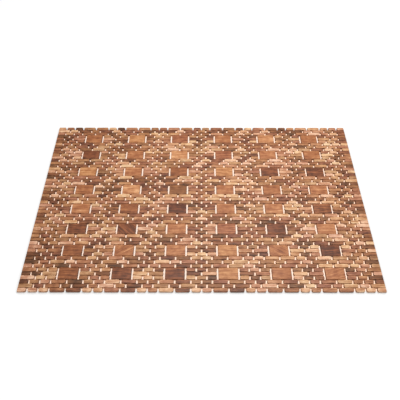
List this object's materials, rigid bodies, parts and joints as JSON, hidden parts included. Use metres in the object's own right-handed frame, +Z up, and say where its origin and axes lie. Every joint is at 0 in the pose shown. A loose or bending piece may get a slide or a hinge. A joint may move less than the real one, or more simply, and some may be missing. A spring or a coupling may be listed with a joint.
{
  "type": "wooden block bath mat",
  "caption": "Flat rectangular bath mat of small wooden blocks and larger tiles on hidden cords; its rows fold on each other, so it rolls up front to back.",
  "frame": {"origin": "under the middle of the mat, on the surface it lies on", "axes": "+X along the mat and along the wood's grain, +Y from the front edge to the back edge, +Z up through its thickness"},
  "size_m": [0.806, 0.4992, 0.006],
  "materials": {
    "block_wood": "satin",
    "tile_wood": "satin",
    "cord": "matte"
  },
  "bodies": {
    "block_row_01": {"block_row_01": "block_wood"},
    "block_row_02": {"block_row_02": "block_wood"},
    "block_row_03": {"block_row_03": "block_wood"},
    "tile_band_1": {"tile_band_1": "tile_wood"},
    "block_row_04": {"block_row_04": "block_wood"},
    "block_row_05": {"block_row_05": "block_wood"},
    "block_row_06": {"block_row_06": "block_wood"},
    "tile_band_2": {"tile_band_2": "tile_wood"},
    "block_row_07": {"block_row_07": "block_wood"},
    "block_row_08": {"block_row_08": "block_wood"},
    "block_row_09": {"block_row_09": "block_wood"},
    "tile_band_3": {"tile_band_3": "tile_wood"},
    "block_row_10": {"block_row_10": "block_wood"},
    "block_row_11": {"block_row_11": "block_wood"},
    "block_row_12": {"block_row_12": "block_wood"},
    "tile_band_4": {"tile_band_4": "tile_wood"},
    "block_row_13": {"block_row_13": "block_wood"},
    "block_row_14": {"block_row_14": "block_wood"},
    "block_row_15": {"block_row_15": "block_wood"},
    "tile_band_5": {"tile_band_5": "tile_wood"},
    "block_row_16": {"block_row_16": "block_wood"},
    "block_row_17": {"block_row_17": "block_wood"},
    "block_row_18": {"block_row_18": "block_wood"},
    "tile_band_6": {"tile_band_6": "tile_wood"},
    "block_row_19": {"block_row_19": "block_wood"},
    "block_row_20": {"block_row_20": "block_wood"},
    "block_row_21": {"block_row_21": "block_wood"},
    "tile_band_7": {"tile_band_7": "tile_wood"},
    "block_row_22": {"block_row_22": "block_wood"},
    "block_row_23": {"block_row_23": "block_wood"},
    "block_row_24": {"block_row_24": "block_wood"},
    "tile_band_8": {"tile_band_8": "tile_wood"},
    "block_row_25": {"block_row_25": "block_wood"},
    "block_row_26": {"block_row_26": "block_wood"},
    "block_row_27": {"block_row_27": "block_wood"}
  },
  "joints": [
    {"name": "front_fold_01", "type": "hinge", "parent": "block_row_14", "child": "block_row_13", "pos_m": [0, -0.0049, 0.003], "axis": [-1, 0, 0], "range_deg": [-10, 10]},
    {"name": "front_fold_02", "type": "hinge", "parent": "block_row_13", "child": "tile_band_4", "pos_m": [0, -0.0147, 0.003], "axis": [-1, 0, 0], "range_deg": [-10, 10]},
    {"name": "front_fold_03", "type": "hinge", "parent": "tile_band_4", "child": "block_row_12", "pos_m": [0, -0.0441, 0.003], "axis": [-1, 0, 0], "range_deg": [-10, 10]},
    {"name": "front_fold_04", "type": "hinge", "parent": "block_row_12", "child": "block_row_11", "pos_m": [0, -0.0539, 0.003], "axis": [-1, 0, 0], "range_deg": [-10, 10]},
    {"name": "front_fold_05", "type": "hinge", "parent": "block_row_11", "child": "block_row_10", "pos_m": [0, -0.0637, 0.003], "axis": [-1, 0, 0], "range_deg": [-10, 10]},
    {"name": "front_fold_06", "type": "hinge", "parent": "block_row_10", "child": "tile_band_3", "pos_m": [0, -0.0735, 0.003], "axis": [-1, 0, 0], "range_deg": [-10, 10]},
    {"name": "front_fold_07", "type": "hinge", "parent": "tile_band_3", "child": "block_row_09", "pos_m": [0, -0.1029, 0.003], "axis": [-1, 0, 0], "range_deg": [-10, 10]},
    {"name": "front_fold_08", "type": "hinge", "parent": "block_row_09", "child": "block_row_08", "pos_m": [0, -0.1127, 0.003], "axis": [-1, 0, 0], "range_deg": [-10, 10]},
    {"name": "front_fold_09", "type": "hinge", "parent": "block_row_08", "child": "block_row_07", "pos_m": [0, -0.1225, 0.003], "axis": [-1, 0, 0], "range_deg": [-10, 10]},
    {"name": "front_fold_10", "type": "hinge", "parent": "block_row_07", "child": "tile_band_2", "pos_m": [0, -0.1323, 0.003], "axis": [-1, 0, 0], "range_deg": [-10, 10]},
    {"name": "front_fold_11", "type": "hinge", "parent": "tile_band_2", "child": "block_row_06", "pos_m": [0, -0.1617, 0.003], "axis": [-1, 0, 0], "range_deg": [-10, 10]},
    {"name": "front_fold_12", "type": "hinge", "parent": "block_row_06", "child": "block_row_05", "pos_m": [0, -0.1715, 0.003], "axis": [-1, 0, 0], "range_deg": [-10, 10]},
    {"name": "front_fold_13", "type": "hinge", "parent": "block_row_05", "child": "block_row_04", "pos_m": [0, -0.1813, 0.003], "axis": [-1, 0, 0], "range_deg": [-10, 10]},
    {"name": "front_fold_14", "type": "hinge", "parent": "block_row_04", "child": "tile_band_1", "pos_m": [0, -0.1911, 0.003], "axis": [-1, 0, 0], "range_deg": [-10, 10]},
    {"name": "front_fold_15", "type": "hinge", "parent": "tile_band_1", "child": "block_row_03", "pos_m": [0, -0.2205, 0.003], "axis": [-1, 0, 0], "range_deg": [-10, 10]},
    {"name": "front_fold_16", "type": "hinge", "parent": "block_row_03", "child": "block_row_02", "pos_m": [0, -0.2303, 0.003], "axis": [-1, 0, 0], "range_deg": [-10, 10]},
    {"name": "front_fold_17", "type": "hinge", "parent": "block_row_02", "child": "block_row_01", "pos_m": [0, -0.2401, 0.003], "axis": [-1, 0, 0], "range_deg": [-10, 10]},
    {"name": "back_fold_01", "type": "hinge", "parent": "block_row_14", "child": "block_row_15", "pos_m": [0, 0.0049, 0.003], "axis": [1, 0, 0], "range_deg": [-10, 10]},
    {"name": "back_fold_02", "type": "hinge", "parent": "block_row_15", "child": "tile_band_5", "pos_m": [0, 0.0147, 0.003], "axis": [1, 0, 0], "range_deg": [-10, 10]},
    {"name": "back_fold_03", "type": "hinge", "parent": "tile_band_5", "child": "block_row_16", "pos_m": [0, 0.0441, 0.003], "axis": [1, 0, 0], "range_deg": [-10, 10]},
    {"name": "back_fold_04", "type": "hinge", "parent": "block_row_16", "child": "block_row_17", "pos_m": [0, 0.0539, 0.003], "axis": [1, 0, 0], "range_deg": [-10, 10]},
    {"name": "back_fold_05", "type": "hinge", "parent": "block_row_17", "child": "block_row_18", "pos_m": [0, 0.0637, 0.003], "axis": [1, 0, 0], "range_deg": [-10, 10]},
    {"name": "back_fold_06", "type": "hinge", "parent": "block_row_18", "child": "tile_band_6", "pos_m": [0, 0.0735, 0.003], "axis": [1, 0, 0], "range_deg": [-10, 10]},
    {"name": "back_fold_07", "type": "hinge", "parent": "tile_band_6", "child": "block_row_19", "pos_m": [0, 0.1029, 0.003], "axis": [1, 0, 0], "range_deg": [-10, 10]},
    {"name": "back_fold_08", "type": "hinge", "parent": "block_row_19", "child": "block_row_20", "pos_m": [0, 0.1127, 0.003], "axis": [1, 0, 0], "range_deg": [-10, 10]},
    {"name": "back_fold_09", "type": "hinge", "parent": "block_row_20", "child": "block_row_21", "pos_m": [0, 0.1225, 0.003], "axis": [1, 0, 0], "range_deg": [-10, 10]},
    {"name": "back_fold_10", "type": "hinge", "parent": "block_row_21", "child": "tile_band_7", "pos_m": [0, 0.1323, 0.003], "axis": [1, 0, 0], "range_deg": [-10, 10]},
    {"name": "back_fold_11", "type": "hinge", "parent": "tile_band_7", "child": "block_row_22", "pos_m": [0, 0.1617, 0.003], "axis": [1, 0, 0], "range_deg": [-10, 10]},
    {"name": "back_fold_12", "type": "hinge", "parent": "block_row_22", "child": "block_row_23", "pos_m": [0, 0.1715, 0.003], "axis": [1, 0, 0], "range_deg": [-10, 10]},
    {"name": "back_fold_13", "type": "hinge", "parent": "block_row_23", "child": "block_row_24", "pos_m": [0, 0.1813, 0.003], "axis": [1, 0, 0], "range_deg": [-10, 10]},
    {"name": "back_fold_14", "type": "hinge", "parent": "block_row_24", "child": "tile_band_8", "pos_m": [0, 0.1911, 0.003], "axis": [1, 0, 0], "range_deg": [-10, 10]},
    {"name": "back_fold_15", "type": "hinge", "parent": "tile_band_8", "child": "block_row_25", "pos_m": [0, 0.2205, 0.003], "axis": [1, 0, 0], "range_deg": [-10, 10]},
    {"name": "back_fold_16", "type": "hinge", "parent": "block_row_25", "child": "block_row_26", "pos_m": [0, 0.2303, 0.003], "axis": [1, 0, 0], "range_deg": [-10, 10]},
    {"name": "back_fold_17", "type": "hinge", "parent": "block_row_26", "child": "block_row_27", "pos_m": [0, 0.2401, 0.003], "axis": [1, 0, 0], "range_deg": [-10, 10]}
  ]
}
